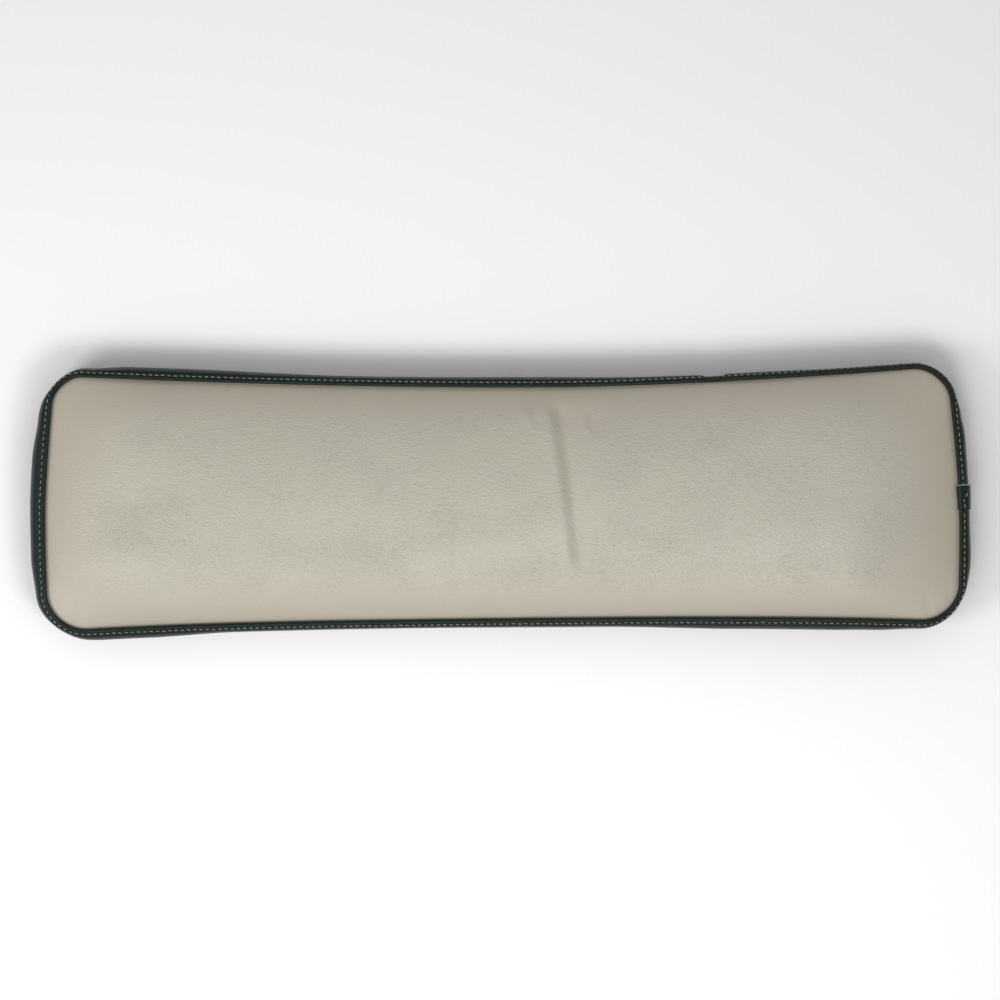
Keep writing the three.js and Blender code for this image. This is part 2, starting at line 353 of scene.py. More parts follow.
def wander(*columns):
    """Smooth noise between -1 and 1 at each row of up to three numbers."""
    return np.array([noise.noise(Vector(point)) for point in zip(*columns)])


def surface_detail(points):
    """Height added to the face's points by folds, pulls, end rolls and uneven filling."""
    x, y = points[:, 0], points[:, 1]
    still = np.zeros_like(x)
    crowned = smooth(points[:, 2] / (sizes().seam_height / MM) - 1, 0, DETAIL_RISE)
    added = fold_height(x, y)
    near_top = smooth(y, PULLS["low"], PULLS["high"])
    from_middle = np.abs(x - PULLS["middle"])
    reach = 1 - smooth(from_middle, PULLS["reach"] * PULLS["full_share"], PULLS["reach"])
    pulls = wander(x / PULLS["spacing"], y / PULLS["length"], still + PULLS["pattern"])
    added += PULLS["height"] * pulls * near_top * reach
    ends = HALF_LENGTH - np.abs(x - CENTRE[0]) - END_ROLL["from_end"]
    across = 1 - np.clip(np.abs(y / HALF_WIDTH), 0, 1) ** END_ROLL["across_power"]
    added += END_ROLL["height"] * np.exp(-((ends / END_ROLL["width"]) ** 2)) * across
    spacing = UNEVEN["spacing"]
    uneven = wander(x / spacing, y / (spacing * UNEVEN["across_share"]), still + UNEVEN["pattern"])
    added += UNEVEN["height"] * uneven
    return added * crowned


def rim_point(at):
    """The plain rectangle's point at each distance round the rim."""
    at = np.mod(at, RIM)
    turns = np.cumsum([0, HALF_WIDTH, 2 * HALF_LENGTH, 2 * HALF_WIDTH, 2 * HALF_LENGTH, HALF_WIDTH])
    x = np.interp(at, turns, [HALF_LENGTH, HALF_LENGTH, -HALF_LENGTH, -HALF_LENGTH, HALF_LENGTH, HALF_LENGTH])
    y = np.interp(at, turns, [0, HALF_WIDTH, HALF_WIDTH, -HALF_WIDTH, -HALF_WIDTH, 0])
    return x, y


def on_edge(x, y):
    """Which points of the plain rectangle lie on its edge."""
    return (np.abs(x) > HALF_LENGTH - ON_EDGE) | (np.abs(y) > HALF_WIDTH - ON_EDGE)


def rim_distance(x, y):
    """How far round the rim each point of the plain rectangle's edge lies."""
    return np.select(
        [x >= HALF_LENGTH, y >= HALF_WIDTH, x <= -HALF_LENGTH],
        [np.mod(y, RIM), HALF_WIDTH + HALF_LENGTH - x, 2 * HALF_WIDTH + 2 * HALF_LENGTH - y],
        3 * HALF_WIDTH + 3 * HALF_LENGTH + x,
    )


def stand_out(at):
    at = np.mod(at, RIM)
    rows = np.array(STAND_OUT, float)
    n = np.clip(np.searchsorted(rows[:, 0], at, side="right") - 1, 0, len(rows) - 2)
    share = smooth(at, rows[n, 0], rows[n + 1, 0])
    return rows[n, 1] + (rows[n + 1, 1] - rows[n, 1]) * share


class Rim:
    """The seam's places, outward directions, heights and stand-outs at distances round the rim."""

    def __init__(self, at):
        self.at = np.asarray(at, float)
        x, y = rim_point(self.at)
        self.x, self.y = place(x, y)
        before = place(*rim_point(self.at - 0.5))
        after = place(*rim_point(self.at + 0.5))
        way_x, way_y = after[0] - before[0], after[1] - before[1]
        length = np.hypot(way_x, way_y)
        self.out_x, self.out_y = way_y / length, -way_x / length
        self.height = seam_height(x, y)
        self.stand_out = stand_out(self.at)

    def points(self, out, height):
        """Points out past the seam, at heights over the floor: one row of points a place."""
        return np.stack(
            [
                self.x[:, None] + self.out_x[:, None] * out,
                self.y[:, None] + self.out_y[:, None] * out,
                np.broadcast_to(height, out.shape),
            ],
            axis=-1,
        )


def section(rim):
    """The band's outer section at each place, seam to hem: arrays of out past the seam and height."""
    lean = -np.radians(LEAN["degrees"]) * np.clip((LEAN["from"] - rim.stand_out) / LEAN["over"], 0, 1)
    out = [np.full_like(lean, LAP_FOOT[0])]
    up = [np.full_like(lean, LAP_FOOT[1])]
    for lap_out, lap_up in LAP:
        a, b = lap_out - LAP_PIVOT[0], lap_up - LAP_PIVOT[1]
        out.append(LAP_PIVOT[0] + a * np.cos(lean) - b * np.sin(lean))
        up.append(LAP_PIVOT[1] + a * np.sin(lean) + b * np.cos(lean))
    last_out, last_up = out[-1], up[-1]
    for degrees in TURN_ANGLES:
        angle = math.radians(degrees)
        out.append(last_out + (rim.stand_out - last_out) * math.sin(angle))
        up.append(last_up - (last_up + WIDEST_DROP) * (1 - math.cos(angle)))
    for share, height in SIDE:
        out.append(BACK_REACH + (rim.stand_out - BACK_REACH) * share)
        up.append(height - rim.height)
    for row_out, height in (HEEL, HEM):
        out.append(np.full_like(lean, row_out))
        up.append(height - rim.height)
    return np.stack(out, axis=1), np.stack(up, axis=1) + rim.height[:, None]


def offset(out, height, distance):
    """The section moved towards the cloth's outer side."""
    before = np.maximum(np.arange(out.shape[1]) - 1, 0)
    after = np.minimum(np.arange(out.shape[1]) + 1, out.shape[1] - 1)
    way_out = out[:, after] - out[:, before]
    way_up = height[:, after] - height[:, before]
    length = np.hypot(way_out, way_up)
    return out - way_up / length * distance, height + way_out / length * distance


def rounded(values, steps):
    """Rows of values with steps smooth points between each pair of them."""
    count = values.shape[1]
    padded = np.concatenate(
        [2 * values[:, :1] - values[:, 1:2], values, 2 * values[:, -1:] - values[:, -2:-1]], axis=1
    )
    found = []
    for n in range(count - 1):
        a, b, c, d = (padded[:, n + i] for i in range(4))
        for i in range(steps):
            t = i / steps
            found.append(
                b
                + 0.5 * t * (c - a + t * (2 * a - 5 * b + 4 * c - d + t * (3 * (b - c) + d - a)))
            )
    found.append(values[:, -1])
    return np.stack(found, axis=1)


# Mesh helpers.


def layered_grid(columns, rows, layers):
    """A closed block of unit cells, as a bmesh, and its points' column, row and layer."""
    bm = bmesh.new()
    bmesh.ops.create_grid(bm, x_segments=columns, y_segments=rows, size=0.5)
    bmesh.ops.translate(bm, verts=bm.verts, vec=(0.5, 0.5, 0))
    bmesh.ops.scale(bm, verts=bm.verts, vec=(columns, rows, 1))
    top = bm.faces[:]
    for layer in range(layers):
        made = bmesh.ops.extrude_face_region(bm, geom=top, use_keep_orig=True)["geom"]
        if layer:
            bmesh.ops.delete(bm, geom=top, context="FACES")
        top = [item for item in made if isinstance(item, bmesh.types.BMFace)]
        lifted = [item for item in made if isinstance(item, bmesh.types.BMVert)]
        bmesh.ops.translate(bm, verts=lifted, vec=(0, 0, 1))
    bmesh.ops.recalc_face_normals(bm, faces=bm.faces)
    return bm, coordinates(bm)


def coordinates(bm):
    return np.array([v.co for v in bm.verts], float)


def set_points(bm, points):
    for vert, point in zip(bm.verts, points * MM):
        vert.co = point


def finished(name, bm, material, slot, *nodes):
    """A bmesh as a named object that rides on the cushion's body and stands for solids."""
    mesh = bpy.data.meshes.new(name)
    bm.to_mesh(mesh)
    bm.free()
    mesh.shade_smooth()
    mesh.materials.append(material)
    piece = bpy.data.objects.new(name, mesh)
    bpy.context.scene.collection.objects.link(piece)
    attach(piece, "root")
    if nodes:
        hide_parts(*nodes)
    return piece


def apply_modifiers(piece):
    """Keep the shape that the piece's modifiers give it, and take them off."""
    bpy.context.view_layer.update()
    graph = bpy.context.evaluated_depsgraph_get()
    mesh = bpy.data.meshes.new_from_object(piece.evaluated_get(graph))
    piece.modifiers.clear()
    piece.data = mesh


def tube(bm, points, thickness, around=6):
    """Add a thread along points, with its thickness at each, in millimetres."""
    points, thickness = np.asarray(points, float), np.asarray(thickness, float)
    way = np.gradient(points, axis=0)
    way /= np.linalg.norm(way, axis=1)[:, None]
    side = np.cross(way, (0.0, 0.0, 1.0))
    side /= np.maximum(np.linalg.norm(side, axis=1), 1e-6)[:, None]
    over = np.cross(side, way)
    angle = np.linspace(0, 2 * math.pi, around, endpoint=False)
    ring = np.cos(angle)[:, None, None] * side + np.sin(angle)[:, None, None] * over
    placed = points + ring * thickness[:, None] / 2
    made = bmesh.ops.create_grid(bm, x_segments=len(points) - 1, y_segments=around, size=0.5)["verts"]
    for vert in made:
        n = round((vert.co.x + 0.5) * (len(points) - 1))
        m = round((vert.co.y + 0.5) * around) % around
        vert.co = placed[m, n] * MM


# Materials.


class Value:
    """A number that varies over a surface; arithmetic on it adds Math nodes."""

    def __init__(self, shader, socket):
        self.shader = shader
        self.socket = socket

    def _math(self, operation, *inputs):
        return self.shader.node("ShaderNodeMath", {"operation": operation}, *inputs)

    def __add__(self, other):
        return self._math("ADD", self, other)

    __radd__ = __add__

    def __sub__(self, other):
        return self._math("SUBTRACT", self, other)

    def __rsub__(self, other):
        return self._math("SUBTRACT", other, self)

    def __mul__(self, other):
        return self._math("MULTIPLY", self, other)

    __rmul__ = __mul__

    def __abs__(self):
        return self._math("ABSOLUTE", self)


class Shader:
    """A material's nodes, with its principled shader's fixed values set on its own sockets."""

    def __init__(self, name, **fixed):
        self.material = bpy.data.materials.new(name)
        self.material.use_nodes = True
        self.tree = self.material.node_tree
        self.surface = self.tree.nodes["Principled BSDF"]
        for socket, value in fixed.items():
            self.surface.inputs[socket.replace("_", " ")].default_value = value

    def node(self, kind, settings, *inputs, output=0, **named):
        made = self.tree.nodes.new(kind)
        for key, value in settings.items():
            setattr(made, key, value)
        for n, value in list(enumerate(inputs)) + list(named.items()):
            socket = made.inputs[n.replace("_", " ") if isinstance(n, str) else n]
            if isinstance(value, Value):
                self.tree.links.new(value.socket, socket)
            elif value is not None:
                socket.default_value = value
        return Value(self, made.outputs[output])

    def place(self):
        """Object coordinates, in millimetres."""
        point = self.node("ShaderNodeTexCoord", {}, output=3)
        return self.node("ShaderNodeMapping", {}, point, Scale=(1 / MM, 1 / MM, 1 / MM))

    def noise(self, point, scale, detail=2, roughness=0.5, distortion=0, output=0):
        return self.node(
            "ShaderNodeTexNoise",
            {},
            Vector=point,
            Scale=scale,
            Detail=detail,
            Roughness=roughness,
            Distortion=distortion,
            output=output,
        )

    def spread(self, value, low, high, to_low=0, to_high=1):
        return self.node("ShaderNodeMapRange", {}, value, low, high, to_low, to_high)

    def mix(self, share, a, b):
        made = self.node("ShaderNodeMix", {"data_type": "RGBA"}, output=2)
        mixer = made.socket.node
        for socket, value in ((mixer.inputs[0], share), (mixer.inputs[6], a), (mixer.inputs[7], b)):
            if isinstance(value, Value):
                self.tree.links.new(value.socket, socket)
            else:
                socket.default_value = value
        return made

    def link(self, value, socket):
        self.tree.links.new(value.socket, self.surface.inputs[socket])

    def bump(self, height):
        """Bend the normals by a height in millimetres."""
        made = self.node("ShaderNodeBump", {}, Strength=1.0, Distance=MM, Height=height)
        self.link(made, "Normal")


def colour(rgb, factor=1.0):
    return (rgb[0] * factor, rgb[1] * factor, rgb[2] * factor, 1)


def cloth_grain(shader, wrinkle_depth, pebble_depth):
    """Height of a coated cloth's grain, in millimetres, and how strongly each patch is creased."""
    point = shader.place()
    drift = shader.noise(point, 0.012, detail=1, output=1)
    bent = shader.node(
        "ShaderNodeVectorMath", {"operation": "MULTIPLY_ADD"}, drift, (60, 60, 60), point
    )
    creases = 0
    for crease in CREASES:
        scale = (crease["along"], crease["across"], crease["across"])
        drawn = shader.node(
            "ShaderNodeMapping", {}, bent, Scale=scale, Rotation=(0, 0, crease["turn"])
        )
        waves = shader.noise(drawn, 1.0, detail=2, roughness=0.5, distortion=0.35)
        creases = creases + abs(waves * 2 - 1) * crease["share"]
    pebble = shader.node(
        "ShaderNodeTexVoronoi", {"feature": "SMOOTH_F1"}, Vector=point, Scale=0.9, Smoothness=0.6
    )
    patches = shader.spread(shader.noise(point, 0.016, detail=2), 0.36, 0.64, 0.75, 1)
    return creases * patches * wrinkle_depth - pebble * pebble_depth, patches


def face_cloth():
    shader = Shader("pale_coated_cloth", Specular_IOR_Level=0.6)
    tint = colours().face
    height, patches = cloth_grain(shader, 0.75, 0.08)
    point = shader.place()
    cloudy = shader.noise(point, 0.012, detail=3, roughness=0.6)
    share = shader.spread(cloudy, 0.3, 0.7)
    base = shader.mix(share, colour(tint, 0.98), colour(tint, 1.02))
    # The face's colour turns to painted shade near its seams, where the attribute that also calms its grain
    # is high.
    calm_and_shade = shader.node("ShaderNodeAttribute", {"attribute_name": "calm_and_shade"}, output=2)
    near_seams = colour([part * share for part, share in zip(tint, SEAM_SHADE_AND_TINT)])
    shader.link(shader.mix(calm_and_shade, base, near_seams), "Base Color")
    shader.link(0.4 + 0.04 * patches + 0.03 * share, "Roughness")
    shader.bump(height * (1 - calm_and_shade))
    return shader.material


def band_cloth(name="dark_coated_cloth"):
    shader = Shader(name, Specular_IOR_Level=0.22)
    tint = colours().band
    height, _ = cloth_grain(shader, 0.3, 0.12)
    point = shader.place()
    share = shader.spread(shader.noise(point, 0.05, detail=3), 0.3, 0.7)
    shader.link(shader.mix(share, colour(tint, 0.85), colour(tint, 1.2)), "Base Color")
    shader.link(0.36 + 0.12 * share, "Roughness")
    shader.bump(height)
    return shader.material


def thread_fibre():
    shader = Shader("topstitch_thread", Roughness=0.7)
    tint = colours().thread
    along = shader.node("ShaderNodeTexCoord", {}, output=2)
    twist = shader.node(
        "ShaderNodeTexWave",
        {"bands_direction": "DIAGONAL"},
        Vector=along,
        Scale=1.0,
        Distortion=0.4,
    )
    # The thread is darkened by each stitch's random share.
    darkening = shader.node("ShaderNodeAttribute", {"attribute_name": "darkening"}, output=2)
    shader.link(shader.mix(darkening, colour(tint), colour(tint, 0.55)), "Base Color")
    shader.link(0.6 + 0.2 * twist, "Roughness")
    shader.bump(twist * 0.12)
    return shader.material


# Pieces.


def pad_points(grid, columns, rows, layers, crown_share):
    """Places of the filled face's points, from their column, row and layer."""
    x = (grid[:, 0] / columns * 2 - 1) * HALF_LENGTH
    y = (grid[:, 1] / rows * 2 - 1) * HALF_WIDTH
    layer = np.rint(grid[:, 2]).astype(int)
    points = np.zeros_like(grid)
    points[:, 0], points[:, 1] = place(x, y)
    points[:, 2] = seam_height(x, y) + FACE_EDGE[1] + crown_height(x, y) * crown_share
    under = layer == 0
    inset = 1 - BODY_INSET / np.array([HALF_LENGTH, HALF_WIDTH])
    points[under, 0], points[under, 1] = place(x[under] * inset[0], y[under] * inset[1])
    points[under, 2] = BODY_FLOOR
    edge = on_edge(x, y)
    rim = Rim(rim_distance(x[edge], y[edge]))
    inner_out, inner_height = offset(*section(rim), -CLOTH - BEHIND_BAND)
    first = STITCH_ROW + 1
    ring_out = [np.full(len(rim.at), -BODY_INSET)]
    ring_height = [np.full(len(rim.at), BODY_FLOOR)]
    last = inner_out.shape[1] - 2
    picked = np.rint(np.linspace(last, first, PAD_RINGS)).astype(int)
    for n in picked:
        ring_out.append(inner_out[:, n])
        ring_height.append(np.maximum(inner_height[:, n], BODY_FLOOR + LEAST_RISE))
    ring_out.append(np.full(len(rim.at), LAP_FOOT[0] - FOOT_GAP[0]))
    ring_height.append(rim.height + LAP_FOOT[1] - FOOT_GAP[1])
    ring_out.append(np.full(len(rim.at), FACE_EDGE[0]))
    ring_height.append(rim.height + FACE_EDGE[1])
    ring_out, ring_height = np.stack(ring_out, 1), np.stack(ring_height, 1)
    which = layer[edge]
    each = np.arange(len(which))
    placed = rim.points(ring_out[each, which][:, None], ring_height[each, which][:, None])
    points[edge] = placed[:, 0]
    return points


def swell(piece, held):
    """Let the face's cloth swell under pressure from its filling, held at its seam and below it."""
    mesh = piece.data
    before = mesh_points(mesh)
    group = piece.vertex_groups.new(name="held")
    group.add(np.flatnonzero(held).tolist(), 1.0, "REPLACE")
    cloth = piece.modifiers.new("Swell", "CLOTH")
    settings = cloth.settings
    settings.vertex_group_mass = group.name
    settings.use_pressure = True
    settings.uniform_pressure_force = SWELL["pressure"]
    settings.effector_weights.gravity = 0
    settings.mass = SWELL["mass"]
    settings.quality = SWELL["quality"]
    scene = bpy.context.scene
    for number in range(1, SWELL["frames"] + 1):
        scene.frame_set(number)
    graph = bpy.context.evaluated_depsgraph_get()
    moved = mesh_points(piece.evaluated_get(graph).data) - before
    length = np.linalg.norm(moved, axis=1)[:, None]
    moved *= np.minimum(1, SWELL["most"] / np.maximum(length, 1e-6))
    piece.modifiers.remove(cloth)
    piece.vertex_groups.remove(group)
    scene.frame_set(1)
    set_mesh_points(mesh, before + moved)


def mesh_points(mesh):
    """A mesh's points, in millimetres."""
    found = np.empty(len(mesh.vertices) * 3)
    mesh.vertices.foreach_get("co", found)
    return found.reshape(-1, 3) / MM


def set_mesh_points(mesh, points):
    mesh.vertices.foreach_set("co", (points * MM).ravel())
    mesh.update()


class MakeFace(bpy.types.Operator):
    """Make the crowned face over its filling"""

    bl_idname = "cushion.make_face"
    bl_label = "Face and filling"

    def execute(self, context):
        columns = round(2 * HALF_LENGTH / PAD_CELL)
        rows = round(2 * HALF_WIDTH / PAD_CELL)
        layers = PAD_RINGS + 2
        bm, grid = layered_grid(columns, rows, layers)
        crown_share = SWELL["start"]
        set_points(bm, pad_points(grid, columns, rows, layers, crown_share))
        bmesh.ops.recalc_face_normals(bm, faces=bm.faces)
        inside = (grid[:, 0] > 0.5) & (grid[:, 0] < columns - 0.5)
        inside &= (grid[:, 1] > 0.5) & (grid[:, 1] < rows - 0.5)
        free = inside & (grid[:, 2] > layers - 0.5)
        piece = finished("face_pad", bm, face_cloth(), "face_cloth", "filled_face")
        swell(piece, ~free)
        soften = piece.modifiers.new("Soft", "SUBSURF")
        soften.levels = soften.render_levels = 1
        apply_modifiers(piece)
        mesh = piece.data
        points = mesh_points(mesh)
        points[:, 2] += surface_detail(points)
        rise = points[:, 2] - sizes().seam_height / MM
        # Near the seams the face loses grain and takes painted shade, both by this one attribute.
        calm_and_shade = mesh.attributes.new("calm_and_shade", "FLOAT", "POINT")
        lost = CALM_AND_SHADE["share"] * (1 - smooth(rise, *CALM_AND_SHADE["rise"]))
        calm_and_shade.data.foreach_set("value", lost.astype(np.float32))
        set_mesh_points(mesh, points)
        return {"FINISHED"}


def stitch_places():
    """Where each topstitch's middle falls round the rim, and the true length of rim a stitch takes."""
    at = np.linspace(0, RIM, SEAM_SAMPLES, endpoint=False)
    rim = Rim(at)
    out, height = section(rim)
    row = STITCH_ROW + 1
    line = rim.points(out[:, row][:, None], height[:, row][:, None])[:, 0]
    steps = np.linalg.norm(np.diff(np.vstack([line, line[:1]]), axis=0), axis=1)
    walked = np.concatenate([[0], np.cumsum(steps)])
    count = round(walked[-1] / (sizes().stitch_pitch / MM))
    pitch = walked[-1] / count
    middles = (np.arange(count) + 0.5) * pitch
    return walked, np.append(at, RIM), middles, pitch


def band_loops(at, phase):
    """Closed section loops of the band, with a dimple under each end of each stitch."""
    rim = Rim(at)
    outer = section(rim)
    inner = offset(*outer, -CLOTH)
    fine_out = rounded(outer[0], BAND_SMOOTH)
    fine_height = rounded(outer[1], BAND_SMOOTH)
    row = (STITCH_ROW + 1) * BAND_SMOOTH
    stitch_out, stitch_height = fine_out[:, row : row + 1], fine_height[:, row : row + 1]
    from_stitch = np.hypot(fine_out - stitch_out, fine_height - stitch_height)
    pull = np.exp(-((from_stitch / DIMPLE["reach"]) ** 2)) * (0.5 + 0.5 * np.cos(phase))[:, None]
    fine_out, fine_height = offset(fine_out, fine_height, -DIMPLE["depth"] * pull)
    first = STITCH_ROW + 1
    loop_out = np.concatenate([fine_out, inner[0][:, first:][:, ::-1]], axis=1)
    loop_height = np.concatenate([fine_height, inner[1][:, first:][:, ::-1]], axis=1)
    return rim.points(loop_out, loop_height)


class MakeBand(bpy.types.Operator):
    """Make the side band with its lapped and topstitched edge"""

    bl_idname = "cushion.make_band"
    bl_label = "Side band"

    def execute(self, context):
        walked, at_walked, _, pitch = stitch_places()
        around = round(RIM / BAND_STEP)
        at = np.arange(around) * RIM / around
        phase = 2 * math.pi * (np.interp(at, at_walked, walked) / pitch)
        loops = band_loops(at, phase)
        through = loops.shape[1]
        bm = bmesh.new()
        bmesh.ops.create_grid(bm, x_segments=around, y_segments=through, size=0.5)
        grid = coordinates(bm)
        i = np.rint((grid[:, 0] + 0.5) * around).astype(int) % around
        j = np.rint((grid[:, 1] + 0.5) * through).astype(int) % through
        set_points(bm, loops[i, j])
        bmesh.ops.remove_doubles(bm, verts=bm.verts, dist=1e-6)
        bmesh.ops.recalc_face_normals(bm, faces=bm.faces)
        finished("band", bm, band_cloth(), "band_cloth", "side_band")
        return {"FINISHED"}


class MakeStitches(bpy.types.Operator):
    """Make the row of topstitches beside the seam"""

    bl_idname = "cushion.make_stitches"
    bl_label = "Topstitching"

    def execute(self, context):
        walked, at_walked, middles, pitch = stitch_places()
        drawn = np.random.default_rng(STITCH["seed"])
        bm = bmesh.new()
        darkenings = []
        radius = sizes().thread / MM / 2
        lengthwise, round_thread = STITCH["lengthwise"], STITCH["around"]
        row = STITCH_ROW + 1
        for middle in middles:
            slip, side_slip, long_share, darkening, turn = drawn.normal(size=5)
            at_middle = np.interp(middle, walked, at_walked)
            hidden = (at_middle + RIM / 2) % RIM - RIM / 2
            if JOIN["low"] < hidden < JOIN["high"]:
                continue
            half = pitch * (STITCH["half"] + STITCH["half_varies"] * long_share)
            s = np.linspace(-1, 1, lengthwise + 1)
            along = middle + slip * STITCH["slips"] + s * half
            rim = Rim(np.interp(along % walked[-1], walked, at_walked))
            out, height = section(rim)
            way_out = out[:, row + 1] - out[:, row - 1]
            way_up = height[:, row + 1] - height[:, row - 1]
            length = np.hypot(way_out, way_up)
            way_out, way_up = way_out / length, way_up / length
            lift = STITCH["lift"] - STITCH["dip"] * np.abs(s) ** STITCH["end_power"]
            slant = STITCH["slant"] + turn * STITCH["slant_varies"]
            across = side_slip * STITCH["side_slips"] + slant * s - STITCH["sag"] * s**2
            centre_out = out[:, row] - way_up * lift + way_out * across
            centre_up = height[:, row] + way_out * lift + way_up * across
            thick = radius * np.sqrt(np.clip(1 - np.abs(s) ** STITCH["end_power"], 0, 1))[:, None]
            angle = np.linspace(0, 2 * math.pi, round_thread, endpoint=False)
            aside, above = np.cos(angle), STITCH["flat"] * np.sin(angle)
            way_out, way_up = way_out[:, None], way_up[:, None]
            stitch = rim.points(
                centre_out[:, None] + thick * (aside * way_out - above * way_up),
                centre_up[:, None] + thick * (aside * way_up + above * way_out),
            )
            made = bmesh.ops.create_grid(
                bm, x_segments=lengthwise, y_segments=round_thread, size=0.5
            )["verts"]
            for vert in made:
                n = round((vert.co.x + 0.5) * lengthwise)
                m = round((vert.co.y + 0.5) * round_thread) % round_thread
                vert.co = stitch[n, m] * MM
            # Each stitch's thread is darkened by a random share.
            darkening = STITCH["darkening"] + STITCH["darkening_varies"] * darkening
            darkenings += [min(1, max(0, darkening))] * len(made)
        layer = bm.verts.layers.float.new("darkening")
        for vert, darkening in zip(bm.verts, darkenings):
            vert[layer] = darkening
        bmesh.ops.remove_doubles(bm, verts=bm.verts, dist=1e-6)
        bmesh.ops.recalc_face_normals(bm, faces=bm.faces)
        finished("topstitching", bm, thread_fibre(), "band_cloth")
        return {"FINISHED"}


class MakeLapEnd(bpy.types.Operator):
    """Make the band's folded end, laid over its start"""

    bl_idname = "cushion.make_lap_end"
    bl_label = "Lapped end of the band"

    def execute(self, context):
        columns, rows = LAP_GRID
        bm, grid = layered_grid(columns, rows, 1)
        share = grid[:, 0] / columns
        rim = Rim(JOIN["low"] + (JOIN["high"] - JOIN["low"]) * share)
        out, height = (rounded(line, BAND_SMOOTH) for line in section(rim))
        thickness = JOIN["low_thickness"] + (JOIN["high_thickness"] - JOIN["low_thickness"]) * share
        past_fold = (share - LAP_ROUND["fold_from"]) / LAP_ROUND["fold_over"]
        fold_edge = np.sqrt(1 - np.clip(past_fold, 0, 1) ** 2)
        seam_edge = np.sqrt(1 - np.clip(1 - grid[:, 1] / LAP_ROUND["seam_rows"], 0, 1) ** 2)
        least = LAP_ROUND["least"]
        rounding = least + (1 - least) * fold_edge * seam_edge
        lift = JOIN["clear"] + grid[:, 2] * thickness * rounding
        out, height = offset(out, height, lift[:, None])
        last = out.shape[1] - 1 - BAND_SMOOTH
        row = np.rint(2 + (1 - grid[:, 1] / rows) * (last - 2)).astype(int)
        each = np.arange(len(row))
        points = rim.points(out[each, row][:, None], height[each, row][:, None])[:, 0]
        set_points(bm, points)
        bmesh.ops.recalc_face_normals(bm, faces=bm.faces)
        finished("band_lap", bm, band_cloth("lap_cloth"), "band_cloth", "band_lap_end")
        return {"FINISHED"}


def over_section(at, rows, lift):
    """Points over the band at distances round the rim and rows of its smooth section."""
    rim = Rim(at)
    out, height = (rounded(line, BAND_SMOOTH) for line in section(rim))
    out, height = offset(out, height, np.asarray(lift, float)[:, None])
    found = []
    for n, row in enumerate(rows):
        columns = np.arange(out.shape[1])
        found.append((np.interp(row, columns, out[n]), np.interp(row, columns, height[n])))
    found = np.array(found)
    return rim.points(found[:, 0][:, None], found[:, 1][:, None])[:, 0]


class MakeLooseThreads(bpy.types.Operator):
    """Make the thread sewn across the lap and the slack stitches beside it"""

    bl_idname = "cushion.make_loose_threads"
    bl_label = "Threads at the lap"

    def execute(self, context):
        thick = sizes().thread / MM
        bm = bmesh.new()
        across = np.linspace(*CROSS_THREAD["rows"], CROSS_THREAD["points"])
        wave = CROSS_THREAD["wave"] * np.sin(across * CROSS_THREAD["turns"])
        along = JOIN["high"] + CROSS_THREAD["past"] + wave
        over_fold = over_section(along, across, CROSS_THREAD["lift"] + wave)
        tube(bm, over_fold, thick * np.append(np.ones(len(across) - 1), 0))
        for start, end, rows, rise in LOOSE_STITCHES:
            share = np.linspace(0, 1, LOOSE["points"])
            over_lap = JOIN["high_thickness"] * LOOSE["over_lap"]
            arch = LOOSE["lift"] + rise * np.sin(math.pi * share) + over_lap
            line = over_section(
                start + (end - start) * share, rows[0] + (rows[1] - rows[0]) * share, arch
            )
            ends = np.clip(1 - (2 * share - 1) ** LOOSE["end_power"], 0, 1)
            tube(bm, line, thick * LOOSE["thickness"] * np.sqrt(ends))
        bmesh.ops.remove_doubles(bm, verts=bm.verts, dist=1e-6)
        bmesh.ops.recalc_face_normals(bm, faces=bm.faces)
        finished("lap_threads", bm, thread_fibre(), "band_cloth")
        return {"FINISHED"}


class MakeBack(bpy.types.Operator):
    """Make the plain back panel inside the band's turned-in edge"""

    bl_idname = "cushion.make_back"
    bl_label = "Back panel"

    def execute(self, context):
        columns, rows = BACK_GRID
        bm, grid = layered_grid(columns, rows, 1)
        x = (grid[:, 0] / columns * 2 - 1) * HALF_LENGTH
        y = (grid[:, 1] / rows * 2 - 1) * HALF_WIDTH
        inset = 1 + BACK_EDGE / np.array([HALF_LENGTH, HALF_WIDTH])
        points = np.zeros_like(grid)
        points[:, 0], points[:, 1] = place(x * inset[0], y * inset[1])
        edge = on_edge(x, y)
        rim = Rim(rim_distance(x[edge], y[edge]))
        points[edge] = rim.points(np.full((len(rim.at), 1), BACK_EDGE), 0.0)[:, 0]
        points[:, 2] = grid[:, 2] * BACK_THICKNESS
        set_points(bm, points)
        bmesh.ops.recalc_face_normals(bm, faces=bm.faces)
        sharp = [e for e in bm.edges if len(e.link_faces) == 2 and e.calc_face_angle(0) > 1]
        bmesh.ops.bevel(
            bm,
            geom=sharp,
            offset=BACK_BEVEL["width"] * MM,
            segments=BACK_BEVEL["segments"],
            profile=0.5,
            affect="EDGES",
            material=-1,
        )
        finished("back", bm, band_cloth("back_cloth"), "back_cloth", "back_panel")
        return {"FINISHED"}


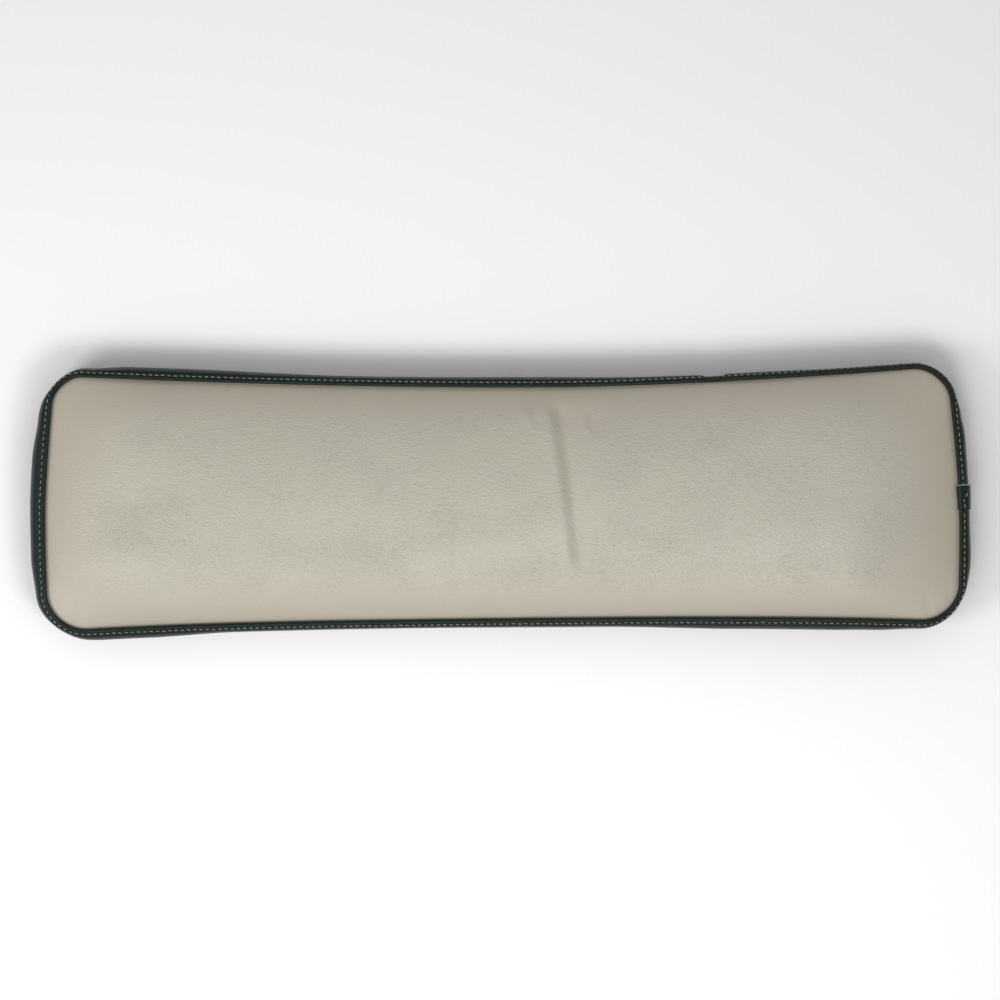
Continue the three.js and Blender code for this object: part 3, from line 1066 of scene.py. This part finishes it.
class MakeStage(bpy.types.Operator):
    """Set the floor, the lights and the camera"""

    bl_idname = "cushion.make_stage"
    bl_label = "Floor, lights and camera"

    def execute(self, context):
        shader = Shader("plain_floor", Roughness=0.9)
        shader.surface.inputs["Base Color"].default_value = colour(colours().floor)
        bm = bmesh.new()
        bmesh.ops.create_grid(bm, x_segments=1, y_segments=1, size=FLOOR_SIZE)
        mesh = bpy.data.meshes.new("floor")
        bm.to_mesh(mesh)
        bm.free()
        mesh.materials.append(shader.material)
        floor = bpy.data.objects.new("floor", mesh)
        context.scene.collection.objects.link(floor)

        for light in LIGHTS:
            add_light(**light)

        world = bpy.data.worlds.new("studio")
        context.scene.world = world
        world.use_nodes = True
        back = world.node_tree.nodes["Background"]
        back.inputs["Color"].default_value = (1, 1, 1, 1)
        back.inputs["Strength"].default_value = WORLD_STRENGTH

        lens = bpy.data.cameras.new("camera")
        lens.sensor_width = CAMERA["sensor"]
        lens.lens = CAMERA["sensor"] * CAMERA["distance"]
        camera = bpy.data.objects.new("camera", lens)
        context.scene.collection.objects.link(camera)
        camera.location = (0, 0, sizes().seam_height + CAMERA["distance"])
        camera.rotation_euler = (0, 0, CAMERA["roll"])
        context.scene.camera = camera
        context.scene.view_settings.view_transform = "Standard"
        return {"FINISHED"}


def add_light(name, around, up, distance, size, power):
    """A square soft light that faces the cushion, at angles round and up from its middle."""
    light = bpy.data.lights.new(name, "AREA")
    light.size = size
    light.energy = power
    lamp = bpy.data.objects.new(name, light)
    bpy.context.scene.collection.objects.link(lamp)
    around, up = math.radians(around), math.radians(up)
    flat = distance * math.cos(up)
    lamp.location = (flat * math.cos(around), flat * math.sin(around), distance * math.sin(up))
    lamp.rotation_euler = (-lamp.location).to_track_quat("-Z", "Y").to_euler()
    lamp.visible_camera = False


class CushionPanel(bpy.types.Panel):
    """Sizes, colours and pieces of the back cushion"""

    bl_idname = "VIEW3D_PT_back_cushion"
    bl_label = "Back Cushion"
    bl_space_type = "VIEW_3D"
    bl_region_type = "UI"
    bl_category = "Back Cushion"

    def draw(self, context):
        for group in (context.scene.cushion_sizes, context.scene.cushion_colours):
            for name in group.__annotations__:
                self.layout.prop(group, name)
        for operator in OPERATORS:
            self.layout.operator(operator.bl_idname)


GROUPS = (CushionSizes, CushionColours)
OPERATORS = (MakeFace, MakeBand, MakeLapEnd, MakeBack, MakeStitches, MakeLooseThreads, MakeStage)


def register():
    for made in (*GROUPS, *OPERATORS, CushionPanel):
        bpy.utils.register_class(made)
    bpy.types.Scene.cushion_sizes = bpy.props.PointerProperty(type=CushionSizes)
    bpy.types.Scene.cushion_colours = bpy.props.PointerProperty(type=CushionColours)


def unregister():
    del bpy.types.Scene.cushion_colours
    del bpy.types.Scene.cushion_sizes
    for made in reversed((*GROUPS, *OPERATORS, CushionPanel)):
        bpy.utils.unregister_class(made)


def main():
    register()
    bpy.ops.cushion.make_face()
    bpy.ops.cushion.make_band()
    bpy.ops.cushion.make_lap_end()
    bpy.ops.cushion.make_back()
    bpy.ops.cushion.make_stitches()
    bpy.ops.cushion.make_loose_threads()
    bpy.ops.cushion.make_stage()


if __name__ == "__main__":
    main()
